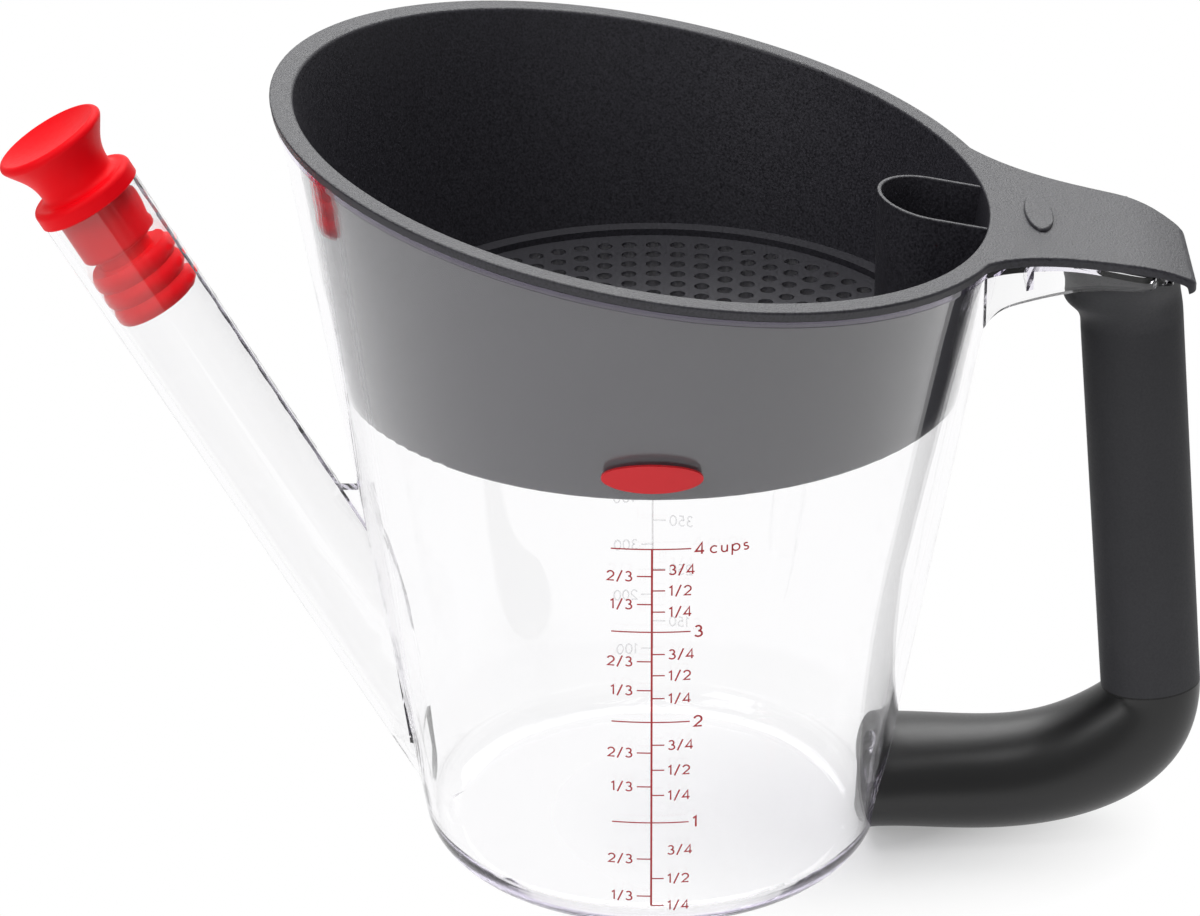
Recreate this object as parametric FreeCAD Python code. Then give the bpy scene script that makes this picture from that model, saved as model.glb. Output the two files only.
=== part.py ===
"""Gravy fat separator: a clear measuring cup with a low-mouthed spout, a lift-out
strainer, a pull-out spout stopper and a black handle.

Millimetres, +Z up. The origin is the centre of the cup's base, on the table.
+X points to the handle and -X to the spout. Each piece is written to parts/.
"""

import FreeCAD, Part

import math
import os

Vector = FreeCAD.Vector

# ---- Driving dimensions ------------------------------------------------------

# Cup: a cone with a slanted rim. Heights are measured from the table.
CUP_BASE_RADIUS = 48.3
CUP_TAPER = 0.166  # radius gained for each millimetre of height
CUP_WALL = 2.0
CUP_FLOOR = 3.0
CUP_BASE_ROUND = 7.5
CUP_CORNER_ROUND = 6.0
RIM_HEIGHT = 158.3  # top of the strainer's lip, on the cup's axis
RIM_SLOPE = 0.182  # height lost for each millimetre towards the handle
BEAD_HEIGHT = 1.4
BEAD_WIDTH = 0.7

# Spout: a tapered tube that leaves the cup near its floor
SPOUT_LEAN = 29.617  # degrees from vertical
SPOUT_INSET = 15.91  # from the base's edge in to the spout's axis, on the table
SPOUT_END_DROP = 11.69  # from the rim's middle down to the middle of the tube's end
SPOUT_RADIUS = 10.9  # outside, at the tube's end
SPOUT_TAPER = 0.003
SPOUT_WALL = 1.6
MOUTH_HEIGHT = 23.0
WEB_THICKNESS = 3.0
WEB_HEIGHT = 10.0

# Strainer: a perforated bowl that hangs in the cup by its lip
STRAINER_DEPTH = 47.5
STRAINER_WALL = 1.4
STRAINER_FLOOR = 1.7
STRAINER_CORNER = 1.2
LIP_HEIGHT = 2.0
LIP_OVERHANG = 0.9
LEDGE_WIDTH = 3.0
LEDGE_HEIGHT = 1.5
HOLE_DIAMETER = 3.3
HOLE_PITCH = 5.3
HOLE_RING_PITCH = 5.1
HOLE_MARGIN = 5.3
VENT_RADIUS = 11.3
VENT_DEPTH = 17.5
VENT_WALL = 0.9
VENT_DROP = 0.5
VENT_STEP = 0.4

# Thumb tab: part of the strainer, reaching over the handle
TAB_REACH = 38.5
TAB_FLARE = 7.4  # how far each side widens where it runs into the lip
TAB_ROOT_HALF = 23.6
TAB_WAIST_HALF = 19.3
TAB_END_HALF = 15.3
TAB_END_ROUND = 3.5
TAB_THICKNESS = 1.9
TAB_FLAT = 24.0
TAB_LIP_DROP = 8.3
# Where the tab's side passes these widths, as shares of its reach
TAB_FLARE_SHARES = (-0.16, -0.06)
TAB_ROOT_SHARE = 0.09
TAB_WAIST_SHARE = 0.485
TAB_SHOULDER_SHARE = 0.75
# Points of the drooping end, as shares of its run and of its fall
TAB_DROOP = ((0.5, 0.26), (0.86, 0.6))
OVAL_REACH = 6.6
OVAL_LENGTH = 18.6
OVAL_WIDTH = 6.0
OVAL_HEIGHT = 0.8

# Upper arm: a clear channel under the tab, moulded with the cup
ARM_INSET = 1.0
ARM_WALL = 2.0
ARM_ROOF = 1.8
ARM_END_INSET = 4.6
# The lower edge: distance beyond the rim and drop below the rim plane
ARM_EDGE = (
    (-9.0, 20.5),
    (-6.8, 15.2),
    (-3.3, 11.8),
    (1.0, 10.5),
    (8.0, 9.1),
    (17.6, 7.0),
    (26.5, 5.6),
    (36.0, 6.0),
)
ARM_RIB_REACH = 3.2
ARM_RIB_THICKNESS = 1.5
ARM_RIB_HEIGHT = 4.0
CORE_HALF_X = 6.5
CORE_HALF_Y = 5.0
CORE_PLUG = 8.0
STUB_HALF_WIDTH = 12.0
STUB_HALF_HEIGHT = 6.0
STUB_REACH = 20.0

# Grip: a soft sleeve over the core, with a flared collar under the arm
GRIP_REACH = 26.8
GRIP_DROP = 18.85
GRIP_LEAN = 5.483  # degrees, outward going down
GRIP_HALF_X = 10.7
GRIP_HALF_Y = 8.7
COLLAR_HALF_X = 12.1
COLLAR_HALF_Y = 16.6
COLLAR_SHIFT = 1.8
COLLAR_HEIGHT = 15.5
COLLAR_LOW = 2.0  # how far down the shaft the flare starts
# The flare: rise up the collar, spread along the arm and spread across it
COLLAR_FLARE = (
    (0.0, 0.0, 0.0),
    (0.2, 0.03, 0.04),
    (0.34, 0.4, 0.15),
    (0.46, 0.9, 0.3),
    (0.6, 1.0, 0.5),
    (0.8, 0.95, 0.8),
    (1.0, 0.9, 1.0),
)

# Elbow: the rigid lower arm
SEAM_HEIGHT = 34.5
ROOT_HALF_WIDTH = 16.5
ROOT_HALF_HEIGHT = 11.0
ROOT_HEIGHT = 11.7
ROOT_BITE = 5.5
ROOT_SLOPE = 0.11  # rise for each millimetre away from the cup
TURN_REACH = 21.5  # from the seam's middle back to where the bend starts
TURN_HALF_WIDTH = 13.0
TURN_HALF_HEIGHT = 12.2
TURN_HEIGHT = 13.5
CORNER_REACH = 5.4  # from the seam's middle back to the bend's corner
CORNER_HALF_WIDTH = 11.0
CORNER_HALF_HEIGHT = 12.3
CORNER_HEIGHT = 21.4
STUB_RAISE = 1.0  # the stub's middle above the root's
ELBOW_STEPS = (3, 1, 1)  # sections from root to turn, turn to corner, corner to seam

# Stopper: one soft moulding. Heights are measured from the tube's end.
KNOB_RADIUS = 11.9
KNOB_HEIGHT = 16.1
KNOB_ROUND = 1.1
KNOB_UNDERCUT = 30.0  # degrees that the rim's round turns under
KNOB_DISH = 2.0
WAIST_RADIUS = 8.0
WAIST_ROUND = 1.5
FLANGE_RADIUS = 11.3
FLANGE_HEIGHT = 3.9
FLANGE_ROUND = 1.3
PLUG_RADIUS = 8.2
PLUG_LENGTH = 11.15
PLUG_ROUND = 1.2
NECK_RADIUS = 6.0
NECK_LENGTH = 2.7
RING_COUNT = 3
RING_LENGTH = 4.1
RING_BULGE = 0.8

# Badge: a bare oval on the cup's front
BADGE_WIDTH = 20.0
BADGE_TALL = 6.5
BADGE_THICKNESS = 0.8
BADGE_DROP = 41.2

# Clearances
STRAINER_GAP = 0.3  # between the cup's wall and the strainer's
SEAT_GAP = 0.2  # between the cup's rim and the strainer's lip
TAB_GAP = 0.4  # between the tab and the arm or collar under it
STOPPER_SEAT_GAP = 0.15
RING_GAP = 0.08  # the stopper's rings run in the bore
FIT_GAP = 0.1  # pushed together and glued
BADGE_GAP = 0.05

# ---- Derived sizes -----------------------------------------------------------

BORE_RADIUS = SPOUT_RADIUS - SPOUT_WALL
SPOUT_FOOT = CUP_BASE_RADIUS - SPOUT_INSET
SPOUT_TAN = math.tan(math.radians(SPOUT_LEAN))
SPOUT_COS = math.cos(math.radians(SPOUT_LEAN))
SPOUT_LENGTH = (RIM_HEIGHT - SPOUT_END_DROP) / SPOUT_COS  # along its axis, from the table
STRAINER_BASE = RIM_HEIGHT - STRAINER_DEPTH
FLOOR_TOP = STRAINER_BASE + STRAINER_FLOOR
RIM_RADIUS = (CUP_BASE_RADIUS + CUP_TAPER * RIM_HEIGHT) / (1 + CUP_TAPER * RIM_SLOPE)
SPREAD = 4 * CUP_BASE_RADIUS  # wider than the whole object
TOP = RIM_HEIGHT + RIM_SLOPE * SPREAD


def radius_at(z):
    """Outside radius of the cup's cone at a height."""
    return CUP_BASE_RADIUS + CUP_TAPER * z


def rim_height(x):
    """Height of the slanted rim plane."""
    return RIM_HEIGHT - RIM_SLOPE * x


def blend(a, b, share):
    """The value at a share of the way from a to b."""
    return a + (b - a) * share


# ---- Shapes used by several pieces -------------------------------------------


def cone(offset, low, high):
    """A solid cone that follows the cup's outside, moved outward by offset."""
    start = radius_at(low) + offset
    end = radius_at(high) + offset
    return Part.makeCone(start, end, high - low, Vector(0, 0, low))


def circles_at(solid, height):
    """The edges of a solid that lie at one height."""
    flat = []
    for edge in solid.Edges:
        box = edge.BoundBox
        if abs(box.ZMin - height) < 1e-6 and abs(box.ZMax - height) < 1e-6:
            flat.append(edge)
    return flat


def rounded_cone(offset, low, high, fillet):
    """A cone whose bottom edge is rounded."""
    blank = cone(offset, low, high)
    return blank.makeFillet(fillet, circles_at(blank, low))


def side_prism(edges, half_width):
    """An outline in the XZ plane, drawn out evenly to both sides."""
    face = Part.Face(Part.Wire(edges))
    face.translate(Vector(0, -half_width, 0))
    return face.extrude(Vector(0, 2 * half_width, 0))


def line(a, b):
    """A straight edge."""
    return Part.LineSegment(a, b).toShape()


def path(points):
    """Straight edges through the points in turn."""
    return [line(a, b) for a, b in zip(points, points[1:])]


def polygon(points):
    """A closed outline of straight edges."""
    return path(points + points[:1])


def spline(points):
    """A smooth curve through the points."""
    curve = Part.BSplineCurve()
    curve.interpolate(points)
    return curve.toShape()


def spline_from(points, start_way, end_way):
    """A smooth curve that leaves and arrives along the given directions."""
    curve = Part.BSplineCurve()
    curve.interpolate(Points=points, InitialTangent=start_way, FinalTangent=end_way)
    return curve.toShape()


def rim_slab(top, bottom):
    """Everything between two planes at these vertical drops below the rim plane."""
    left = -SPREAD
    right = SPREAD
    corners = [
        Vector(left, 0, rim_height(left) - bottom),
        Vector(right, 0, rim_height(right) - bottom),
        Vector(right, 0, rim_height(right) - top),
        Vector(left, 0, rim_height(left) - top),
    ]
    return side_prism(polygon(corners), SPREAD)


def ellipse_wire(half_x, half_y):
    """An ellipse round the origin in the XY plane, its seam on +X."""
    if half_x >= half_y:
        return Part.Wire(Part.Ellipse(Vector(0, 0, 0), half_x, half_y).toShape())
    curve = Part.Ellipse(Vector(0, half_y, 0), Vector(-half_x, 0, 0), Vector(0, 0, 0))
    return Part.Wire(curve.toShape(-math.pi / 2, 1.5 * math.pi))


def tab_outline(inset, end_inset):
    """The tab's plan, widening into the rim, as a face at height zero."""
    tip = RIM_RADIUS + TAB_REACH - end_inset
    root = TAB_ROOT_HALF - inset
    waist = TAB_WAIST_HALF - inset
    end = TAB_END_HALF - inset
    widths = [
        (TAB_FLARE_SHARES[0], root + TAB_FLARE),
        (TAB_FLARE_SHARES[1], root + TAB_FLARE / 2),
        (TAB_ROOT_SHARE, root),
        (TAB_WAIST_SHARE, waist),
        (TAB_SHOULDER_SHARE, blend(waist, end, 0.4)),
    ]
    side = [Vector(RIM_RADIUS + share * TAB_REACH, half, 0) for share, half in widths]
    side.append(Vector(tip - TAB_END_ROUND, end, 0))
    side.append(Vector(tip - TAB_END_ROUND / 4, 0.88 * end, 0))
    side.append(Vector(tip - TAB_END_ROUND / 30, 0.55 * end, 0))
    other_side = [Vector(point.x, -point.y, 0) for point in reversed(side)]
    edge = spline(side + [Vector(tip, 0, 0)] + other_side)
    return Part.Face(Part.Wire([edge, line(other_side[-1], side[0])]))


def tab_line(drop):
    """The tab's side view: level with the rim, then drooping to a lip at the end."""
    start = RIM_RADIUS - 0.3 * TAB_REACH
    flat_end = RIM_RADIUS + TAB_FLAT
    tip = RIM_RADIUS + TAB_REACH - drop
    droop = tip - flat_end
    level = rim_height(flat_end) - drop
    fall = level + drop - TAB_LIP_DROP
    bend = [Vector(flat_end, 0, level)]
    for run, sink in TAB_DROOP:
        bend.append(Vector(flat_end + run * droop, 0, blend(level, fall, sink)))
    bend.append(Vector(tip, 0, fall))
    straight = line(Vector(start, 0, rim_height(start) - drop), bend[0])
    level_way = Vector(1, 0, -RIM_SLOPE)
    return [straight, spline_from(bend, level_way, Vector(0, 0, -1))]


def above_tab_line(drop):
    """Everything above the tab's side line, moved down and inward by drop."""
    lower_edge = tab_line(drop)
    start = lower_edge[0].Vertexes[0].Point
    end = lower_edge[1].Vertexes[-1].Point
    far = [Vector(SPREAD, 0, end.z), Vector(SPREAD, 0, TOP), Vector(start.x, 0, TOP)]
    return side_prism(lower_edge + path([end] + far + [start]), SPREAD)


def spout_place(distance):
    """A frame on the spout's axis, its Z axis pointing out of the spout."""
    turn = FreeCAD.Rotation(Vector(0, 1, 0), -SPOUT_LEAN)
    along = turn.multVec(Vector(0, 0, distance))
    return FreeCAD.Placement(Vector(-SPOUT_FOOT, 0, 0) + along, turn)


def grip_top():
    """The point on the grip's axis where its collar starts to flare."""
    x = RIM_RADIUS + GRIP_REACH
    return Vector(x, 0, rim_height(x) - GRIP_DROP)


def grip_length():
    """From the seam up to the start of the collar, along the grip's axis."""
    return (grip_top().z - SEAM_HEIGHT) / math.cos(math.radians(GRIP_LEAN))


def grip_place(distance):
    """A frame on the grip's axis, measured up from the seam."""
    turn = FreeCAD.Rotation(Vector(0, 1, 0), -GRIP_LEAN)
    seam = grip_top() - turn.multVec(Vector(0, 0, grip_length()))
    return FreeCAD.Placement(seam + turn.multVec(Vector(0, 0, distance)), turn)


def ellipse_at(place, half_x, half_y):
    """An ellipse in a placed frame's XY plane."""
    wire = ellipse_wire(half_x, half_y)
    wire.Placement = place
    return wire


# ---- Cup ---------------------------------------------------------------------


def spout_solid(shrink):
    """The spout's cone from the table to the tube's end, thinner by shrink."""
    radius = SPOUT_RADIUS - shrink
    foot = radius - SPOUT_TAPER * SPOUT_LENGTH
    tube = Part.makeCone(foot, radius, SPOUT_LENGTH)
    tube.Placement = spout_place(0)
    return tube


def above(height):
    """Everything higher than this."""
    return Part.makeBox(2 * SPREAD, 2 * SPREAD, TOP, Vector(-SPREAD, -SPREAD, height))


def spout_bore():
    """The bore, whole below the mouth's top and only outside the cup above it."""
    bore = spout_solid(SPOUT_WALL).common(above(CUP_FLOOR))
    low = bore.cut(above(MOUTH_HEIGHT))
    high = bore.common(above(MOUTH_HEIGHT)).cut(cone(0, 0, TOP))
    return [low, high, spout_end_cut()]


def spout_end_cut():
    """Opens the bore through the tube's end."""
    plug = Part.makeCylinder(BORE_RADIUS, SPOUT_WALL)
    plug.Placement = spout_place(SPOUT_LENGTH)
    return plug


def spout_web():
    """A thin web in the sharp corner between the cup and the spout."""
    slant = SPOUT_RADIUS / SPOUT_COS
    corner = (CUP_BASE_RADIUS + slant - SPOUT_FOOT) / (SPOUT_TAN - CUP_TAPER)
    low = corner - WEB_HEIGHT / 5
    high = corner + WEB_HEIGHT
    sink = SPOUT_WALL / 2

    def cup_side(z):
        return Vector(sink - radius_at(z), 0, z)

    def tube_side(z):
        return Vector(slant - sink - SPOUT_FOOT - SPOUT_TAN * z, 0, z)

    corners = [cup_side(low), cup_side(high), tube_side(high), tube_side(low)]
    return side_prism(polygon(corners), WEB_THICKNESS / 2)


def arm_solid(grow):
    """The channel under the tab, with every wall thicker by grow."""
    outer = tab_outline(ARM_INSET - grow, ARM_END_INSET - grow)
    inner = tab_outline(ARM_INSET + ARM_WALL + grow, ARM_END_INSET + ARM_WALL + grow)
    block = outer.extrude(Vector(0, 0, TOP))
    hollow = inner.extrude(Vector(0, 0, TOP))
    roof = TAB_THICKNESS + TAB_GAP + ARM_ROOF + grow
    hollow = hollow.cut(above_tab_line(roof))
    side = side_prism(arm_side(grow), SPREAD)
    channel = block.cut(hollow).common(side)
    return channel.cut(above_tab_line(TAB_THICKNESS + TAB_GAP - grow))


def arm_side(grow):
    """The arm's side view, rising from the cup's wall to the collar's seat."""
    low = []
    for reach, drop in ARM_EDGE:
        x = RIM_RADIUS + reach
        low.append(Vector(x, 0, rim_height(x) - drop - grow))
    start = Vector(low[0].x, 0, TOP)
    end = Vector(low[-1].x, 0, TOP)
    return [spline(low)] + path([low[-1], end, start, low[0]])


def arm_rib():
    """A cross rib inside the channel."""
    x = RIM_RADIUS + ARM_RIB_REACH
    top = rim_height(x) - TAB_THICKNESS - TAB_GAP - ARM_ROOF / 2
    height = ARM_RIB_HEIGHT + ARM_ROOF / 2
    half = TAB_ROOT_HALF - ARM_INSET - ARM_WALL / 2
    corner = Vector(x - ARM_RIB_THICKNESS / 2, -half, top - height)
    return Part.makeBox(ARM_RIB_THICKNESS, 2 * half, height, corner)


def core(grow):
    """The post inside the grip, from the arm's roof into the elbow."""
    start = -CORE_PLUG - grow
    wire = ellipse_wire(CORE_HALF_X + grow, CORE_HALF_Y + grow)
    post = Part.Face(wire).extrude(Vector(0, 0, grip_length() + GRIP_DROP - start))
    post.Placement = grip_place(start)
    return post.cut(above_tab_line(TAB_THICKNESS + TAB_GAP))


def stub(grow):
    """The boss on the cup's wall that the lower arm is pushed over."""
    reach = STUB_REACH + grow
    wire = ellipse_wire(STUB_HALF_HEIGHT + grow, STUB_HALF_WIDTH + grow)
    boss = Part.Face(wire).extrude(Vector(0, 0, reach + ROOT_BITE))
    turn = FreeCAD.Rotation(Vector(0, 1, 0), 90)
    start = Vector(CUP_BASE_RADIUS - ROOT_BITE, 0, ROOT_HEIGHT + STUB_RAISE)
    boss.Placement = FreeCAD.Placement(start, turn)
    return boss


def cup_blank(grow):
    """The cup's outside as a solid, thicker all round by grow."""
    return rounded_cone(grow, -grow, TOP, CUP_BASE_ROUND + grow)


def rim_bead():
    """The thick band round the cup's rim, under the strainer's lip."""
    drop = LIP_HEIGHT + SEAT_GAP
    return cone(BEAD_WIDTH, 0, TOP).common(rim_slab(drop, drop + BEAD_HEIGHT))


def make_cup():
    """Cup, spout, web, bead, upper arm, post and stub: one clear moulding."""
    cavity = rounded_cone(-CUP_WALL, CUP_FLOOR, TOP, CUP_CORNER_ROUND)
    spout = spout_solid(0).common(above(CUP_FLOOR))
    added = [rim_bead(), spout, spout_web(), arm_solid(0), arm_rib(), core(0), stub(0)]
    over_rim = rim_slab(-TOP, LIP_HEIGHT + SEAT_GAP)
    body = cup_blank(0).fuse(added).cut([cavity, over_rim] + spout_bore())
    return body.removeSplitter()


# ---- Strainer ----------------------------------------------------------------


def strainer_inside():
    """How far the strainer's inner wall lies from the cup's outside."""
    return -CUP_WALL - STRAINER_GAP - STRAINER_WALL


def vent_face(radius):
    """A U shape in plan, open towards the handle."""
    centre = radius_at(FLOOR_TOP) + strainer_inside() - VENT_DEPTH + VENT_RADIUS
    top = Vector(centre, radius, 0)
    nose = Vector(centre - radius, 0, 0)
    bottom = Vector(centre, -radius, 0)
    far_top = Vector(SPREAD, radius, 0)
    far_bottom = Vector(SPREAD, -radius, 0)
    curve = Part.Arc(top, nose, bottom).toShape()
    return Part.Face(Part.Wire([curve] + path([bottom, far_bottom, far_top, top])))


def vent_wall():
    """The U-shaped wall, from the floor to just below the rim, sunk in the bowl's wall."""
    strip = vent_face(VENT_RADIUS).cut(vent_face(VENT_RADIUS - VENT_WALL))
    wall = strip.extrude(Vector(0, 0, TOP))
    half_wall = strainer_inside() + STRAINER_WALL / 2
    wall = wall.common(cone(half_wall, STRAINER_BASE, TOP))
    return wall.cut(rim_slab(-TOP, VENT_DROP))


def vent_opening():
    """The way out through the floor, inside the U."""
    radius = radius_at(FLOOR_TOP) + strainer_inside() - VENT_STEP
    low = STRAINER_BASE - STRAINER_FLOOR
    high = FLOOR_TOP + LEDGE_HEIGHT + STRAINER_FLOOR
    disc = Part.makeCylinder(radius, high - low, Vector(0, 0, low))
    return vent_face(VENT_RADIUS - VENT_WALL).extrude(Vector(0, 0, TOP)).common(disc)


def floor_holes():
    """Rings of round holes, left out where the vent stands."""
    vent = vent_face(VENT_RADIUS + HOLE_DIAMETER)
    ring = ledge_radius() - HOLE_MARGIN
    holes = []
    while ring > HOLE_DIAMETER:
        count = round(2 * math.pi * ring / HOLE_PITCH)
        for index in range(count):
            angle = math.pi / 2 + 2 * math.pi * index / count
            centre = Vector(ring * math.cos(angle), ring * math.sin(angle), 0)
            if not vent.isInside(centre, 1e-6, True):
                base = centre + Vector(0, 0, STRAINER_BASE - STRAINER_FLOOR)
                holes.append(Part.makeCylinder(HOLE_DIAMETER / 2, 3 * STRAINER_FLOOR, base))
        ring -= HOLE_RING_PITCH
    return Part.makeCompound(holes)


def ledge_radius():
    """Inner radius of the step round the strainer's floor."""
    return radius_at(FLOOR_TOP) + strainer_inside() - LEDGE_WIDTH


def strainer_hollow():
    """The space inside the strainer, with a ledge round its floor."""
    well = Part.makeCylinder(ledge_radius(), 2 * LEDGE_HEIGHT, Vector(0, 0, FLOOR_TOP))
    return cone(strainer_inside(), FLOOR_TOP + LEDGE_HEIGHT, TOP).fuse(well)


def strainer_lip():
    """The slanted ring that hangs on the cup's rim."""
    ring = cone(LIP_OVERHANG, STRAINER_BASE, TOP).cut(cone(strainer_inside(), STRAINER_BASE, TOP))
    return ring.common(rim_slab(0, LIP_HEIGHT))


def strainer_tab():
    """The thumb tab, from the middle of the lip out over the handle."""
    tab = tab_outline(0, 0).extrude(Vector(0, 0, TOP))
    tab = tab.common(above_tab_line(TAB_THICKNESS)).cut(above_tab_line(0))
    return tab.cut(cone(strainer_inside() / 2, STRAINER_BASE, TOP))


def tab_oval():
    """A low bare oval on the tab."""
    pad = Part.Face(ellipse_wire(OVAL_WIDTH / 2, OVAL_LENGTH / 2)).extrude(Vector(0, 0, TOP))
    pad.translate(Vector(RIM_RADIUS + OVAL_REACH, 0, 0))
    return pad.common(rim_slab(-OVAL_HEIGHT, TAB_THICKNESS / 2))


def make_strainer():
    """Bowl, vent wall, lip, tab and oval: one moulding."""
    outside = -CUP_WALL - STRAINER_GAP
    bowl = rounded_cone(outside, STRAINER_BASE, TOP, STRAINER_CORNER)
    bowl = bowl.cut([strainer_hollow(), rim_slab(-TOP, LIP_HEIGHT / 2)])
    whole = bowl.fuse([vent_wall(), strainer_lip(), strainer_tab(), tab_oval()])
    return whole.cut([vent_opening(), floor_holes()]).removeSplitter()


# ---- Stopper -----------------------------------------------------------------


def at(radius, height):
    """A point of the stopper's profile."""
    return Vector(radius, 0, height)


def round_about(radius, height, size, start, end):
    """A round about a point of the profile, between two angles in degrees."""
    points = []
    for angle in (start, (start + end) / 2, end):
        turn = math.radians(angle)
        points.append(at(radius + size * math.cos(turn), height + size * math.sin(turn)))
    return Part.Arc(*points).toShape()


def knob_edges():
    """From the middle of the dished top, over the rim and down to the waist."""
    inner = KNOB_RADIUS - KNOB_ROUND
    middle = at(0, KNOB_HEIGHT - KNOB_DISH)
    halfway = at(inner / 2, KNOB_HEIGHT - 0.75 * KNOB_DISH)
    dish = Part.Arc(middle, halfway, at(inner, KNOB_HEIGHT)).toShape()
    rim = round_about(inner, KNOB_HEIGHT - KNOB_ROUND, KNOB_ROUND, 90, -KNOB_UNDERCUT)
    under = rim.Vertexes[-1].Point
    undercut = math.radians(KNOB_UNDERCUT)
    inward = Vector(-math.sin(undercut), 0, -math.cos(undercut))
    waist = at(WAIST_RADIUS, FLANGE_HEIGHT + WAIST_ROUND)
    return [dish, rim, spline_from([under, waist], inward, Vector(0, 0, -1))]


def flange_edges():
    """Out from the waist, over the flange and in along its seat."""
    foot = WAIST_RADIUS + WAIST_ROUND
    inner = FLANGE_RADIUS - FLANGE_ROUND
    shoulder = FLANGE_HEIGHT - FLANGE_ROUND
    seat = STOPPER_SEAT_GAP
    return [
        round_about(foot, FLANGE_HEIGHT + WAIST_ROUND, WAIST_ROUND, 180, 270),
        line(at(foot, FLANGE_HEIGHT), at(inner, FLANGE_HEIGHT)),
        round_about(inner, shoulder, FLANGE_ROUND, 90, 0),
        line(at(FLANGE_RADIUS, shoulder), at(FLANGE_RADIUS, seat)),
        line(at(FLANGE_RADIUS, seat), at(PLUG_RADIUS, seat)),
    ]


def plug_edges():
    """Down the plug and in to its neck."""
    low = -PLUG_LENGTH
    inner = PLUG_RADIUS - PLUG_ROUND
    return [
        line(at(PLUG_RADIUS, STOPPER_SEAT_GAP), at(PLUG_RADIUS, low + PLUG_ROUND)),
        round_about(inner, low + PLUG_ROUND, PLUG_ROUND, 0, -90),
        line(at(inner, low), at(NECK_RADIUS, low)),
        line(at(NECK_RADIUS, low), at(NECK_RADIUS, low - NECK_LENGTH)),
    ]


def ring_edges():
    """From the neck over the sealing rings, then back up the axis."""
    top = -PLUG_LENGTH - NECK_LENGTH
    bottom = top - RING_COUNT * RING_LENGTH
    widest = BORE_RADIUS + SPOUT_TAPER * bottom - RING_GAP
    valley = widest - RING_BULGE
    edges = [line(at(NECK_RADIUS, top), at(valley, top))]
    for index in range(RING_COUNT):
        start = top - index * RING_LENGTH
        end = start - RING_LENGTH
        crest = at(widest, (start + end) / 2)
        edges.append(Part.Arc(at(valley, start), crest, at(valley, end)).toShape())
    edges.extend(path([at(valley, bottom), at(0, bottom), at(0, KNOB_HEIGHT - KNOB_DISH)]))
    return edges


def make_stopper():
    """Knob, flange, plug and sealing rings, turned about one axis."""
    outline = Part.Wire(knob_edges() + flange_edges() + plug_edges() + ring_edges())
    body = Part.Face(outline).revolve(Vector(0, 0, 0), Vector(0, 0, 1), 360)
    body.Placement = spout_place(SPOUT_LENGTH)
    return body


# ---- Handle ------------------------------------------------------------------


def make_grip():
    """The sleeve: a straight shaft that flares into a collar under the arm."""
    flare_start = grip_length() - COLLAR_LOW
    sections = []
    for rise, spread_x, spread_y in COLLAR_FLARE:
        place = grip_place(flare_start + rise * COLLAR_HEIGHT)
        place.Base = place.Base - Vector(spread_x * COLLAR_SHIFT, 0, 0)
        half_x = blend(GRIP_HALF_X, COLLAR_HALF_X, spread_x)
        half_y = blend(GRIP_HALF_Y, COLLAR_HALF_Y, spread_y)
        sections.append(ellipse_at(place, half_x, half_y))
    shaft = Part.Face(ellipse_wire(GRIP_HALF_X, GRIP_HALF_Y)).extrude(Vector(0, 0, flare_start))
    shaft.Placement = grip_place(0)
    collar = Part.makeLoft(sections, True, False)
    cap = Part.Face(sections[-1]).extrude(Vector(0, 0, GRIP_DROP))
    cover = above_tab_line(TAB_THICKNESS + TAB_GAP + FIT_GAP)
    return shaft.fuse([collar, cap]).cut([arm_solid(FIT_GAP), core(FIT_GAP), cover])


def elbow_spine():
    """The lower arm's middle line, from inside the cup's wall up to the seam."""
    seam = grip_place(0)
    points = [
        Vector(CUP_BASE_RADIUS - ROOT_BITE, 0, ROOT_HEIGHT),
        Vector(seam.Base.x - TURN_REACH, 0, TURN_HEIGHT),
        Vector(seam.Base.x - CORNER_REACH, 0, CORNER_HEIGHT),
        seam.Base,
    ]
    outward = Vector(1, 0, ROOT_SLOPE)
    up_the_grip = seam.Rotation.multVec(Vector(0, 0, 1))
    curve = Part.BSplineCurve()
    curve.interpolate(Points=points, InitialTangent=outward, FinalTangent=up_the_grip)
    return curve, [curve.parameter(point) for point in points]


def elbow_sections():
    """Ovals across the spine: root, turn, corner and seam, and even steps between."""
    curve, stations = elbow_spine()
    widths = [ROOT_HALF_WIDTH, TURN_HALF_WIDTH, CORNER_HALF_WIDTH, GRIP_HALF_Y]
    heights = [ROOT_HALF_HEIGHT, TURN_HALF_HEIGHT, CORNER_HALF_HEIGHT, GRIP_HALF_X]
    sections = []
    for index, steps in enumerate(ELBOW_STEPS):
        for step in range(steps):
            share = step / steps
            station = blend(stations[index], stations[index + 1], share)
            way = curve.tangent(station)[0]
            turn = FreeCAD.Rotation(Vector(0, 0, 1), way)
            place = FreeCAD.Placement(curve.value(station), turn)
            half_width = blend(widths[index], widths[index + 1], share)
            half_height = blend(heights[index], heights[index + 1], share)
            sections.append(ellipse_at(place, half_height, half_width))
    sections.append(ellipse_at(grip_place(0), GRIP_HALF_X, GRIP_HALF_Y))
    return sections


def make_elbow():
    """The rigid lower arm, pushed over the stub and the post."""
    body = Part.makeLoft(elbow_sections(), True, False)
    return body.cut([cup_blank(FIT_GAP), core(FIT_GAP), stub(FIT_GAP)])


# ---- Badge -------------------------------------------------------------------


def make_badge():
    """A thin bare oval that follows the cup's cone."""
    oval = Part.Face(ellipse_wire(BADGE_WIDTH / 2, BADGE_TALL / 2))
    pad = oval.extrude(Vector(0, 0, SPREAD))
    turn = FreeCAD.Rotation(Vector(1, 0, 0), 90)
    pad.Placement = FreeCAD.Placement(Vector(0, 0, RIM_HEIGHT - BADGE_DROP), turn)
    skin = cone(BADGE_GAP + BADGE_THICKNESS, 0, TOP).cut(cone(BADGE_GAP, 0, TOP))
    return pad.common(skin)


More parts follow.
